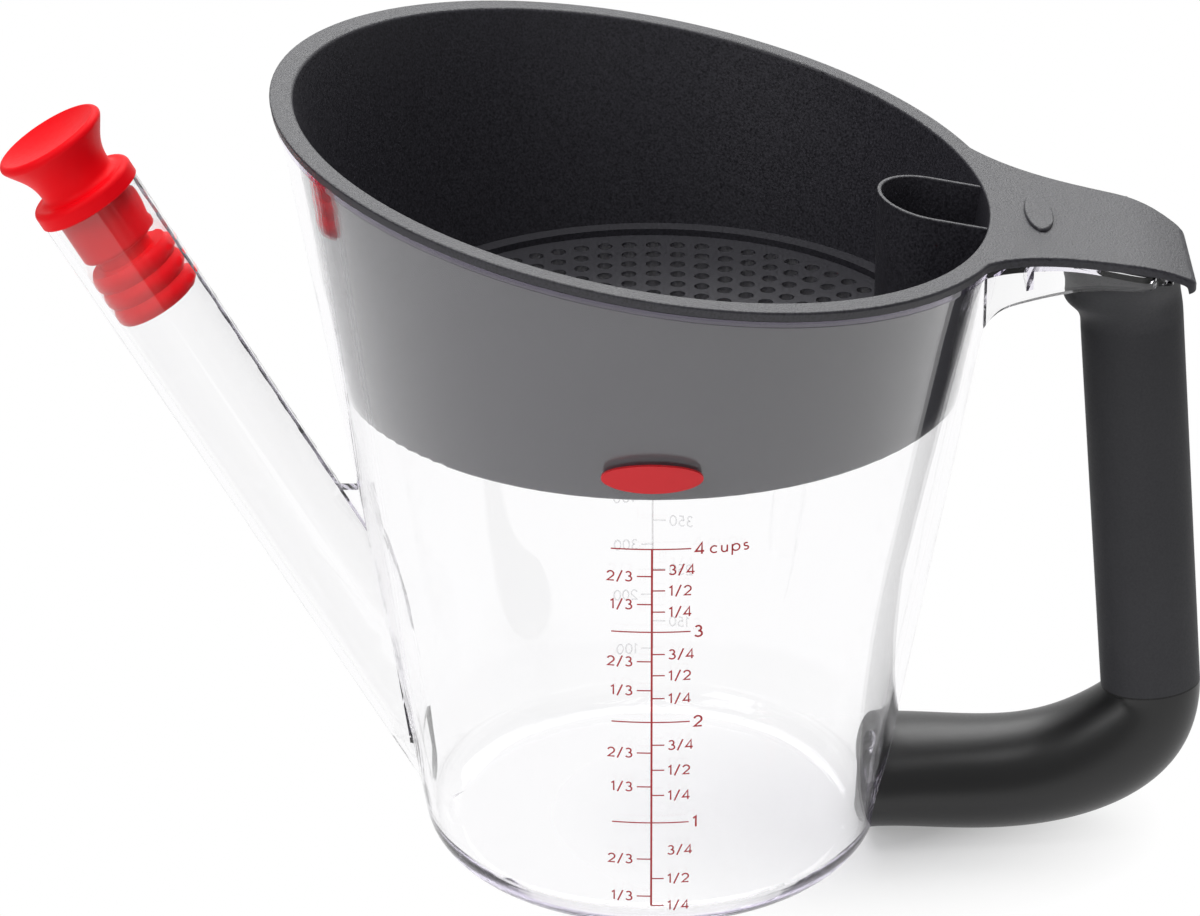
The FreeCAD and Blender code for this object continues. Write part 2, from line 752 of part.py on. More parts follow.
# ---- Output ------------------------------------------------------------------

PIECES = {
    "cup": make_cup,
    "strainer": make_strainer,
    "spout_stopper": make_stopper,
    "grip_sleeve": make_grip,
    "handle_elbow": make_elbow,
    "front_badge": make_badge,
}


def main():
    """Make each piece, report on it and write its STEP file."""
    os.makedirs("parts", exist_ok=True)
    for name, make in PIECES.items():
        shape = make()
        state = "valid" if shape.isValid() else "INVALID"
        print(name, len(shape.Solids), "solid", round(shape.Volume), "mm3", state)
        shape.exportStep(f"parts/{name}.step")


main()
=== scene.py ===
"""Gravy fat separator: a clear spouted cup, a lift-out strainer, a padded handle and a pull-out stopper."""

import math

import bmesh
import bpy
from mathutils import Matrix, Vector


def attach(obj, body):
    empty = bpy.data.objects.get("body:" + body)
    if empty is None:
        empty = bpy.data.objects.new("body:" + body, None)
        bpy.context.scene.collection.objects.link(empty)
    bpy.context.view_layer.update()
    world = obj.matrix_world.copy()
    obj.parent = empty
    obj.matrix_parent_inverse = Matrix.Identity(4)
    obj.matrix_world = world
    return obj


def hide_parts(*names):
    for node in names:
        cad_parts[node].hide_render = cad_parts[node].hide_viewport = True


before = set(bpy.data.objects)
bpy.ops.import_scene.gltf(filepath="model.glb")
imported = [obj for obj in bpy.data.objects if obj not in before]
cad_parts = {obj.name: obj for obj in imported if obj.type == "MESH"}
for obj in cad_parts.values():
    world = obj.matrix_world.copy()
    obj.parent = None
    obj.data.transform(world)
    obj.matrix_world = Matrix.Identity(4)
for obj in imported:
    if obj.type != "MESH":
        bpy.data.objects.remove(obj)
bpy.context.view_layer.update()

MM = 0.001
CUP_AND_HANDLE = "cup_and_handle"
STRAINER = "strainer"

# The cup's outer wall, which carries the print: its radius at the table and what it gains per metre up.
WALL_RADIUS = 48.3 * MM
WALL_TAPER = 0.166
# The slanted rim plane: the top of the strainer's lip on the cup's axis, and its fall towards the handle.
RIM_HEIGHT = 158.3 * MM
RIM_SLOPE = 0.182
LIP_HEIGHT = 2.0 * MM
BEAD_HEIGHT = 1.4 * MM
# Where the rim's round ends and the tab and the arm under it begin.
TAB_START = 71.0 * MM
# The way up the leaning grip.
GRIP_LEAN = math.radians(5.483)
UP_THE_GRIP = Vector((-math.sin(GRIP_LEAN), 0, math.cos(GRIP_LEAN)))


def srgb(code):
    """The linear colour of an sRGB hex code."""
    linear = []
    for place in (1, 3, 5):
        value = int(code[place:place + 2], 16) / 255
        linear.append(value / 12.92 if value <= 0.04045 else ((value + 0.055) / 1.055) ** 2.4)
    return (*linear, 1.0)


def add(tree, kind, inputs=(), **settings):
    """Adds a node. settings are its properties, and inputs pairs a socket with what goes into it.

    That is a value, an output to link, or a node, whose first output is linked."""
    made = tree.nodes.new(kind)
    for name, value in settings.items():
        setattr(made, name, value)
    for socket, value in inputs:
        if isinstance(value, bpy.types.Node):
            value = value.outputs[0]
        if isinstance(value, bpy.types.NodeSocket):
            tree.links.new(value, made.inputs[socket])
        else:
            made.inputs[socket].default_value = value
    return made


# ---------------------------------------------------------------- camera

CAMERA_PLACE = (0.00068, -0.85257, 0.51357)
CAMERA_LOOK = (-0.012340, 0.894514, -0.446869)
CAMERA_UP = (-0.003214, 0.446865, 0.894595)
CAMERA_LENS_MM = 135.6
SENSOR_MM = 36.0
CAMERA_NEAR = 0.05
CAMERA_FAR = 20.0


def make_camera():
    """A long lens from a little above the cup, as for a shelf picture."""
    data = bpy.data.cameras.new("camera")
    data.lens = CAMERA_LENS_MM
    data.sensor_width = SENSOR_MM
    data.clip_start = CAMERA_NEAR
    data.clip_end = CAMERA_FAR
    camera = bpy.data.objects.new("camera", data)
    bpy.context.scene.collection.objects.link(camera)
    look = Vector(CAMERA_LOOK).normalized()
    up = Vector(CAMERA_UP).normalized()
    turn = Matrix((look.cross(up), up, -look)).transposed()
    camera.matrix_world = Matrix.Translation(CAMERA_PLACE) @ turn.to_4x4()
    bpy.context.scene.camera = camera


# ---------------------------------------------------------------- materials

# A Mix node of colours takes its share in socket 0 and the colours in 6 and 7, and gives output 2.
# A Mix node of plain numbers takes them in 2 and 3.

# Most values of a noise lie between these two.
NOISE_LOW = 0.3
NOISE_HIGH = 0.7


def new_material(name):
    """An empty node material and its tree."""
    material = bpy.data.materials.new(name)
    material.use_nodes = True
    material.node_tree.nodes.clear()
    return material, material.node_tree


def rim_level(tree, part):
    """A point's height, measured along the slanted rim plane to the cup's axis."""
    return add(tree, "ShaderNodeMath", [(0, part["X"]), (1, RIM_SLOPE), (2, part["Z"])],
               operation="MULTIPLY_ADD")


# The band of the cup's cut rim just under the strainer's lip, painted with a lavender glow: its middle level
# and half its height.
GLOW_BAND_MIDDLE = RIM_HEIGHT - LIP_HEIGHT - BEAD_HEIGHT / 2
GLOW_BAND_HALF = 0.55 * BEAD_HEIGHT
# Flow ripple of the melt, from crest to crest, and what the bump makes of it: a few microns.
RIPPLE_PITCH = 14.286 * MM
RIPPLE_STRENGTH = 0.05
RIPPLE_DEPTH = 0.5 * MM


def clear_copolyester():
    """Clear copolyester, injection moulded and polished: glass-like, with a faint flow ripple.

    Light that runs a long way inside it comes out a little lavender, and a band at the cut rim is painted
    that lavender as a painted glow. Lamps shine through it without a dark shadow, as they do through a thin
    clear wall."""
    material, tree = new_material("clear copolyester moulding")
    place = add(tree, "ShaderNodeTexCoord").outputs["Object"]
    ripple = add(tree, "ShaderNodeTexNoise", [("Vector", place), ("Scale", 1 / RIPPLE_PITCH),
                                              ("Detail", 1.0)])
    bump = add(tree, "ShaderNodeBump", [("Strength", RIPPLE_STRENGTH), ("Distance", RIPPLE_DEPTH),
                                        ("Height", ripple)])
    # The cut rim is painted lavender and a little milky: a painted glow for the light that the wall carries
    # up and lets out there.
    part = add(tree, "ShaderNodeSeparateXYZ", [(0, place)]).outputs
    in_glow_band = add(tree, "ShaderNodeMath", [(0, rim_level(tree, part)), (1, GLOW_BAND_MIDDLE), (2, GLOW_BAND_HALF)],
                  operation="COMPARE")
    before_tab = add(tree, "ShaderNodeMath", [(0, part["X"]), (1, TAB_START)], operation="LESS_THAN")
    painted_rim_glow = add(tree, "ShaderNodeMath", [(0, in_glow_band), (1, before_tab)], operation="MULTIPLY")
    colour = add(tree, "ShaderNodeMix", [(0, painted_rim_glow), (6, srgb("#ffffff")), (7, srgb("#ded2ee"))],
                 data_type="RGBA").outputs[2]
    plastic = add(tree, "ShaderNodeBsdfPrincipled", [
        ("Base Color", colour), ("Roughness", 0.01), ("IOR", 1.50),
        ("Transmission Weight", 1.0), ("Normal", bump)])
    through = add(tree, "ShaderNodeBsdfTransparent", [("Color", srgb("#f8f8f9"))])
    rays = add(tree, "ShaderNodeLightPath").outputs
    mixed = add(tree, "ShaderNodeMixShader", [(0, rays["Is Shadow Ray"]), (1, plastic), (2, through)])
    tint = add(tree, "ShaderNodeVolumeAbsorption", [("Color", srgb("#cfc4e2")), ("Density", 9.0)])
    add(tree, "ShaderNodeOutputMaterial", [("Surface", mixed), ("Volume", tint)])
    return material


# The bowl's outside lies 2.3 mm inside the cup's outer surface and its inside 3.7 mm: between 3 mm and
# the surface there is only the bowl's outside.
POLISHED_MIDDLE = -1.5 * MM
POLISHED_HALF = 1.5 * MM
# A hair below the lip's underside.
UNDER_LIP = RIM_HEIGHT - 1.05 * LIP_HEIGHT
# The least upward tilt of a surface that counts as looking up: there the tops show their rubbed grain, and
# faces are painted paler as painted top light.
UPWARD_TILT = 0.8
# How far the perforated floor, where it looks up, is painted on the way from the bowl's colour to the paler
# tops: painted top light.
FLOOR_TOP_LIGHT = 0.35
# Eroded grain: pits about half a millimetre apart, with finer ones between.
GRAIN_PITCH = 0.50 * MM
GRAIN_DEPTH = 0.28 * MM
# The share of that depth which shows on the bowl's walls. The rubbed tops show all of it.
GRAIN_ON_WALLS = 0.15


def charcoal_polypropylene():
    """Charcoal polypropylene from one mould with two finishes.

    The bowl's outside is polished and mirrors the room through the clear cup; its paler colour partly stands
    in for that, as a painted reflection. Everything else is spark eroded: a fine grain that glitters where
    light rakes it.
    The tops of the lip and the tab, which hands rub, are rougher; where they look up they are painted paler
    than the bowl's inside, as painted top light, and the perforated floor is painted a little paler too."""
    material, tree = new_material("charcoal polypropylene, grained and polished")
    coordinates = add(tree, "ShaderNodeTexCoord").outputs
    place = coordinates["Object"]
    part = add(tree, "ShaderNodeSeparateXYZ", [(0, place)]).outputs
    x_squared = add(tree, "ShaderNodeMath", [(0, part["X"]), (1, part["X"])], operation="MULTIPLY")
    y_squared = add(tree, "ShaderNodeMath", [(0, part["Y"]), (1, part["Y"])], operation="MULTIPLY")
    squared = add(tree, "ShaderNodeMath", [(0, x_squared), (1, y_squared)], operation="ADD")
    across = add(tree, "ShaderNodeMath", [(0, squared)], operation="SQRT")
    wall = add(tree, "ShaderNodeMath", [(0, part["Z"]), (1, WALL_TAPER), (2, WALL_RADIUS)],
               operation="MULTIPLY_ADD")
    outwards = add(tree, "ShaderNodeMath", [(0, across), (1, wall)], operation="SUBTRACT")
    near_wall = add(tree, "ShaderNodeMath", [(0, outwards), (1, POLISHED_MIDDLE), (2, POLISHED_HALF)],
                    operation="COMPARE")
    level = rim_level(tree, part)
    under_lip = add(tree, "ShaderNodeMath", [(0, level), (1, UNDER_LIP)], operation="LESS_THAN")
    polished = add(tree, "ShaderNodeMath", [(0, near_wall), (1, under_lip)], operation="MULTIPLY")
    grained = add(tree, "ShaderNodeMath", [(0, polished), (1, -1.0), (2, 1.0)], operation="MULTIPLY_ADD")
    high = add(tree, "ShaderNodeMath", [(0, level), (1, UNDER_LIP)], operation="GREATER_THAN")
    beyond = add(tree, "ShaderNodeMath", [(0, part["X"]), (1, TAB_START)], operation="GREATER_THAN")
    facing = add(tree, "ShaderNodeSeparateXYZ", [(0, coordinates["Normal"])]).outputs["Z"]
    looks_up = add(tree, "ShaderNodeMath", [(0, facing), (1, UPWARD_TILT)], operation="GREATER_THAN")
    on_top = add(tree, "ShaderNodeMath", [(0, high), (1, beyond)], operation="MAXIMUM")
    rubbed = add(tree, "ShaderNodeMath", [(0, on_top), (1, looks_up)], operation="MULTIPLY")
    # Faces that look up are painted paler as painted top light: fully on the lip and the tab, less on the
    # perforated floor.
    top_light_share = add(tree, "ShaderNodeMath", [(0, on_top), (1, 1 - FLOOR_TOP_LIGHT), (2, FLOOR_TOP_LIGHT)],
               operation="MULTIPLY_ADD")
    pale = add(tree, "ShaderNodeMath", [(0, top_light_share), (1, looks_up)], operation="MULTIPLY")
    base = add(tree, "ShaderNodeMix", [(0, pale), (6, srgb("#2e2d33")), (7, srgb("#4d4d50"))],
               data_type="RGBA").outputs[2]
    grain = add(tree, "ShaderNodeTexNoise", [("Vector", place), ("Scale", 1 / GRAIN_PITCH),
                                             ("Detail", 1.5), ("Roughness", 0.65)])
    speck = add(tree, "ShaderNodeMapRange", [("Value", grain), ("From Min", NOISE_LOW),
                                             ("From Max", NOISE_HIGH), ("To Min", 0.55), ("To Max", 1.55)])
    speckled = add(tree, "ShaderNodeHueSaturation", [("Color", base), ("Value", speck)])
    # The polished outside gets a paler colour than the grained bowl. Its low roughness gives a real
    # reflection, and the paler colour adds a painted reflection of the room.
    colour = add(tree, "ShaderNodeMix", [(0, polished), (6, speckled), (7, srgb("#5a595f"))],
                 data_type="RGBA").outputs[2]
    dull = add(tree, "ShaderNodeMapRange", [("Value", grain), ("From Min", NOISE_LOW),
                                            ("From Max", NOISE_HIGH), ("To Min", 0.28), ("To Max", 0.60)])
    roughness = add(tree, "ShaderNodeMix", [(0, polished), (2, dull), (3, 0.10)], data_type="FLOAT")
    shown = add(tree, "ShaderNodeMath", [(0, rubbed), (1, 1 - GRAIN_ON_WALLS), (2, GRAIN_ON_WALLS)],
                operation="MULTIPLY_ADD")
    depth = add(tree, "ShaderNodeMath", [(0, grained), (1, shown)], operation="MULTIPLY")
    bump = add(tree, "ShaderNodeBump", [("Strength", depth), ("Distance", GRAIN_DEPTH), ("Height", grain)])
    skin = add(tree, "ShaderNodeBsdfPrincipled", [
        ("Base Color", colour), ("Roughness", roughness), ("IOR", 1.49), ("Normal", bump)])
    add(tree, "ShaderNodeOutputMaterial", [("Surface", skin)])
    return material


# A slow drift of the colour, as handling and cooling leave it, and where on the noise its two ends lie.
DRIFT_PITCH = 25 * MM
DRIFT_ENDS = (0.35, 0.72)
# Near-black painted shade for the joint under the grip.
SEAM_SHADE_COLOUR = "#050505"
# How far light goes into soft plastic: red goes deepest.
SCATTER_RADIUS = (0.004, 0.001, 0.0008)


def moulded(name, colour, worn, roughness, grain_mm, grain_depth_mm, swing=0.0, coat=0.0, sheen=0.0,
            subsurface=0.0, specular=0.5, shaded_seam_top=None):
    """An opaque moulded plastic or rubber.

    colour and worn are the two ends of a slow colour drift, grain_mm the pitch of its mould texture and
    grain_depth_mm that texture's depth. swing is how far the roughness goes up and down with the texture.
    Below the height given for the joint's top, measured up the grip, the colour is painted almost black:
    painted shade in the joint with what follows."""
    material, tree = new_material(name)
    place = add(tree, "ShaderNodeTexCoord").outputs["Object"]
    grain = add(tree, "ShaderNodeTexNoise", [("Vector", place), ("Scale", 1 / (grain_mm * MM)),
                                             ("Detail", 2.0), ("Roughness", 0.6)])
    drift = add(tree, "ShaderNodeTexNoise", [("Vector", place), ("Scale", 1 / DRIFT_PITCH), ("Detail", 3.0)])
    shade = add(tree, "ShaderNodeValToRGB", [("Fac", drift)])
    for end, position, code in zip(shade.color_ramp.elements, DRIFT_ENDS, (colour, worn)):
        end.position = position
        end.color = srgb(code)
    tint = shade.outputs["Color"]
    if shaded_seam_top is not None:
        along = add(tree, "ShaderNodeVectorMath", [(0, place), (1, UP_THE_GRIP)],
                    operation="DOT_PRODUCT").outputs["Value"]
        in_seam_shade = add(tree, "ShaderNodeMath", [(0, along), (1, shaded_seam_top)], operation="LESS_THAN")
        tint = add(tree, "ShaderNodeMix", [(0, in_seam_shade), (6, tint), (7, srgb(SEAM_SHADE_COLOUR))],
                   data_type="RGBA").outputs[2]
    gloss = add(tree, "ShaderNodeMapRange", [("Value", grain), ("From Min", NOISE_LOW),
                                             ("From Max", NOISE_HIGH), ("To Min", roughness - swing),
                                             ("To Max", roughness + swing)])
    bump = add(tree, "ShaderNodeBump", [("Strength", 1.0), ("Distance", grain_depth_mm * MM),
                                        ("Height", grain)])
    skin = add(tree, "ShaderNodeBsdfPrincipled", [
        ("Base Color", tint), ("Roughness", gloss),
        ("IOR", 1.5), ("Specular IOR Level", specular), ("Coat Weight", coat), ("Coat Roughness", 0.08),
        ("Sheen Weight", sheen), ("Sheen Roughness", 0.5), ("Subsurface Weight", subsurface),
        ("Subsurface Radius", SCATTER_RADIUS), ("Subsurface Scale", 0.3), ("Normal", bump)])
    add(tree, "ShaderNodeOutputMaterial", [("Surface", skin)])
    return material


# The pinholes of a thin film of ink, and how much they change its brightness.
PINHOLE_PITCH = 0.4 * MM
PINHOLE_SHADE = 0.12


def pad_printed_ink(name, colour, cover=1.0):
    """Pad-printed ink, cured: flat, slightly glossy, with the pinholes of a thin film.

    cover is how much of the light the film stops."""
    material, tree = new_material(name)
    place = add(tree, "ShaderNodeTexCoord").outputs["Object"]
    film = add(tree, "ShaderNodeTexNoise", [("Vector", place), ("Scale", 1 / PINHOLE_PITCH), ("Detail", 2.0)])
    shade = add(tree, "ShaderNodeMapRange", [("Value", film), ("From Min", NOISE_LOW),
                                             ("From Max", NOISE_HIGH), ("To Min", 1 - PINHOLE_SHADE),
                                             ("To Max", 1 + PINHOLE_SHADE)])
    ink = add(tree, "ShaderNodeHueSaturation", [("Color", srgb(colour)), ("Value", shade)])
    skin = add(tree, "ShaderNodeBsdfPrincipled", [("Base Color", ink), ("Roughness", 0.35), ("IOR", 1.5),
                                                  ("Alpha", cover)])
    add(tree, "ShaderNodeOutputMaterial", [("Surface", skin)])
    return material


# How far the painted shade of the joint under the grip reaches up it.
JOINT_SHADE = 0.4 * MM


def grip_bottom():
    """Where the grip ends below, measured along its own axis."""
    return min(UP_THE_GRIP.dot(vertex.co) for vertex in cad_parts["grip_sleeve"].data.vertices)


def finish_nodes():
    """Gives every CAD node the finish of its real material."""
    finishes = {
        "cup": clear_copolyester(),
        "strainer": charcoal_polypropylene(),
        # Red silicone, compression moulded: soft sheen, light goes a little way in.
        "spout_stopper": moulded("red silicone moulding", "#f70b19", "#f00a17", 0.42, 0.9, 0.006,
                                 swing=0.04, subsurface=0.08, specular=0.08),
        # Thermoplastic rubber moulded over the shaft: dull and dry, almost without reflections. Its bottom
        # edge is painted near-black as shade in the joint.
        "grip_sleeve": moulded("soft black rubber, matte mould", "#29292d", "#2d2d31", 0.68, 0.5, 0.018,
                               swing=0.06, sheen=0.06, shaded_seam_top=grip_bottom() + JOINT_SHADE),
        # Black ABS from a satin mould: broad soft highlights.
        "handle_elbow": moulded("black satin plastic", "#0d0d0e", "#101011", 0.36, 0.6, 0.006,
                                swing=0.03, specular=0.55),
        # Red ABS inlay, polished and lacquered.
        "front_badge": moulded("red lacquered plastic", "#da1822", "#e01e28", 0.32, 1.5, 0.002,
                               swing=0.02, coat=0.2, specular=0.3),
    }
    for node, material in finishes.items():
        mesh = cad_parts[node].data
        mesh.materials.clear()
        mesh.materials.append(material)


# ---------------------------------------------------------------- rounded edges

# Moulded edges are never knife sharp: the radius on the lip and the tab, and on low details.
EDGE_RADIUS = 0.6 * MM
DETAIL_RADIUS = 0.3 * MM
EDGE_STEPS = 4
# The least turn that counts as an edge, and the tilt up to which a face still looks up.
EDGE_TURN = math.radians(50)
LOOKS_UP = 0.75
ROUNDED_ABOVE = RIM_HEIGHT - 9 * MM
# Loose triangles this close are joined, and those that turn by less than this become one flat face.
JOINED_WITHIN = 0.001 * MM
FLAT_TURN = math.radians(0.6)
# Shading breaks where neighbouring faces turn by more than this.
CREASE = math.radians(28)
# The perforated floor is flat right up to its border.
FLAT = 0.9999
FLOOR_CREASE = math.radians(3)
# The raised oval on the tab, and the level under which the thin vent wall ends.
OVAL_MIDDLE = (92.0 * MM, 0.0)
OVAL_REACH = 12.0 * MM
VENT_TOP = RIM_HEIGHT - 0.3 * MM


def level_of(point):
    """Height above the table, measured along the slanted rim plane to the cup's axis."""
    return point.z + RIM_SLOPE * point.x


def top_edges(mesh):
    """The outer edges between a face that looks up and one that does not, on lip, tab, oval and vent wall."""
    found = []
    for edge in mesh.edges:
        if len(edge.link_faces) != 2 or not edge.is_convex:
            continue
        if min(level_of(vertex.co) for vertex in edge.verts) < ROUNDED_ABOVE:
            continue
        rises = sorted(face.normal.z for face in edge.link_faces)
        if rises[1] > LOOKS_UP > rises[0] and edge.calc_face_angle(0) > EDGE_TURN:
            found.append(edge)
    return found


def is_detail(edge):
    """Whether an edge belongs to the raised oval on the tab or to the thin vent wall under the rim plane."""
    middle = (edge.verts[0].co + edge.verts[1].co) / 2
    on_oval = math.hypot(middle.x - OVAL_MIDDLE[0], middle.y - OVAL_MIDDLE[1]) < OVAL_REACH
    on_vent = middle.x < TAB_START and level_of(middle) < VENT_TOP
    return on_oval or on_vent


def round_strainer():
    """Rounds the strainer's upper edges, as its mould leaves them, and puts that mesh in the node's place."""
    shape = bmesh.new()
    shape.from_mesh(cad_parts["strainer"].data)
    bmesh.ops.remove_doubles(shape, verts=shape.verts, dist=JOINED_WITHIN)
    upper = [face for face in shape.faces if level_of(face.calc_center_median()) > ROUNDED_ABOVE]
    around = {edge for face in upper for edge in face.edges}
    bmesh.ops.dissolve_limit(shape, angle_limit=FLAT_TURN, edges=list(around),
                             verts=list({vertex for edge in around for vertex in edge.verts}))
    for radius, detail in ((EDGE_RADIUS, False), (DETAIL_RADIUS, True)):
        chosen = [edge for edge in top_edges(shape) if is_detail(edge) == detail]
        bmesh.ops.bevel(shape, geom=chosen, offset=radius, offset_type="OFFSET", segments=EDGE_STEPS,
                        profile=0.5, affect="EDGES", clamp_overlap=False, loop_slide=True)
    for face in shape.faces:
        face.smooth = True
    for edge in shape.edges:
        turn = edge.calc_face_angle(0)
        borders_floor = max(face.normal.z for face in edge.link_faces) > FLAT and turn > FLOOR_CREASE
        edge.smooth = turn < CREASE and not (borders_floor and level_of(edge.verts[0].co) < ROUNDED_ABOVE)
    mesh = bpy.data.meshes.new("strainer_moulding")
    shape.to_mesh(mesh)
    shape.free()
    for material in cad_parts["strainer"].data.materials:
        mesh.materials.append(material)
    moulding = bpy.data.objects.new("strainer_moulding", mesh)
    bpy.context.scene.collection.objects.link(moulding)
    even = moulding.modifiers.new("even shading", "WEIGHTED_NORMAL")
    even.keep_sharp = True
    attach(moulding, STRAINER)
    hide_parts("strainer")


# ---------------------------------------------------------------- printed scales

# Each letter is drawn with a pen: its width, then its strokes, in units of the digits' height.
# A stroke is a list of points, or an arc: centre x, centre y, half width, half height, start and end in
# degrees, and any points that follow it.
LETTERS = {
    "0": (0.66, [("arc", 0.33, 0.50, 0.30, 0.47, 90, 450)]),
    "1": (0.34, [[(0.04, 0.80), (0.24, 0.97), (0.24, 0.0)]]),
    "2": (0.62, [("arc", 0.31, 0.68, 0.27, 0.29, 165, -38, (0.05, 0.03), (0.60, 0.03))]),
    "3": (0.58, [("arc", 0.27, 0.74, 0.21, 0.23, 150, -90), ("arc", 0.27, 0.27, 0.27, 0.25, 90, -150)]),
    "4": (0.64, [[(0.47, 0.0), (0.47, 0.97), (0.02, 0.24), (0.63, 0.24)]]),
    "5": (0.58, [[(0.52, 0.96), (0.17, 0.96), (0.10, 0.52)], ("arc", 0.26, 0.30, 0.27, 0.28, 128, -150)]),
    "6": (0.60, [[(0.46, 0.97), (0.07, 0.42)], ("arc", 0.31, 0.29, 0.27, 0.27, 0, 360)]),
    "7": (0.56, [[(0.02, 0.95), (0.54, 0.95), (0.20, 0.0)]]),
    "8": (0.58, [("arc", 0.29, 0.74, 0.20, 0.21, 0, 360), ("arc", 0.29, 0.27, 0.26, 0.25, 0, 360)]),
    "9": (0.60, [[(0.14, 0.0), (0.53, 0.55)], ("arc", 0.29, 0.69, 0.27, 0.27, 0, 360)]),
    "/": (0.50, [[(0.02, -0.10), (0.46, 1.08)]]),
    "c": (0.56, [("arc", 0.30, 0.31, 0.27, 0.29, 48, 312)]),
    "u": (0.58, [[(0.07, 0.60), (0.07, 0.24)], ("arc", 0.27, 0.24, 0.20, 0.22, 180, 360),
                 [(0.47, 0.60), (0.47, 0.0)]]),
    "p": (0.66, [[(0.06, 0.60), (0.06, -0.34)], ("arc", 0.33, 0.31, 0.27, 0.29, 0, 360)]),
    "s": (0.44, [("arc", 0.21, 0.45, 0.14, 0.14, 40, 270), ("arc", 0.21, 0.16, 0.17, 0.15, 90, -140)]),
}
LETTER_GAP = 0.20
ARC_STEP = 15
# A stroke whose ends are closer than this many pen widths is closed.
CLOSED_WITHIN = 0.2
# How sharp a corner the mitre still follows, and how much wider it makes the line at most.
MITRE_LEAST = 0.4
MITRE_MOST = 2.0


def stroke_points(stroke):
    """The points that a pen stroke goes through."""
    if stroke[0] != "arc":
        return [Vector(point) for point in stroke]
    _, x, y, half_x, half_y, start, end, *tail = stroke
    steps = max(2, round(abs(end - start) / ARC_STEP))
    points = []
    for step in range(steps + 1):
        angle = math.radians(start + (end - start) * step / steps)
        points.append(Vector((x + half_x * math.cos(angle), y + half_y * math.sin(angle))))
    return points + [Vector(point) for point in tail]


def pen_line(mesh, points, width):
    """Adds a flat band of that width along the points to mesh, mitred at the corners, facing +Z."""
    closed = (points[0] - points[-1]).length < width * CLOSED_WITHIN
    if closed:
        points = points[:-1]
    count = len(points)
    rails = []
    for place, point in enumerate(points):
        before = points[place - 1] if closed or place else None
        after = points[(place + 1) % count] if closed or place < count - 1 else None
        runs = []
        if before is not None:
            runs.append((point - before).normalized())
        if after is not None:
            runs.append((after - point).normalized())
        along = sum(runs, Vector((0, 0))).normalized()
        across = Vector((-along.y, along.x))
        stretch = min(1 / max(abs(along.dot(runs[0])), MITRE_LEAST), MITRE_MOST)
        reach = across * (width / 2 * stretch)
        rails.append((mesh.verts.new((*(point + reach), 0)), mesh.verts.new((*(point - reach), 0))))
    for place in range(count if closed else count - 1):
        left, right = rails[place]
        next_left, next_right = rails[(place + 1) % count]
        mesh.faces.new((left, right, next_right, next_left))


def write(mesh, text, x, y, height, pen):
    """Writes text in mesh with its left edge at x and its middle height at y. Returns where it ends."""
    for letter in text:
        width, strokes = LETTERS[letter]
        for stroke in strokes:
            points = [Vector((x + point.x * height, y + (point.y - 0.5) * height))
                      for point in stroke_points(stroke)]
            pen_line(mesh, points, pen)
        x += (width + LETTER_GAP) * height
    return x - LETTER_GAP * height


def text_width(text, height):
    """How long text is at that height."""
    return (sum(LETTERS[letter][0] for letter in text) + LETTER_GAP * (len(text) - 1)) * height


# A tick is a bar with this many points along it, so that it follows the round wall.
TICK_POINTS = 9
# The least length that counts as a tick. The letters' own points have a length of 0.
TICK_LEAST = 1e-6


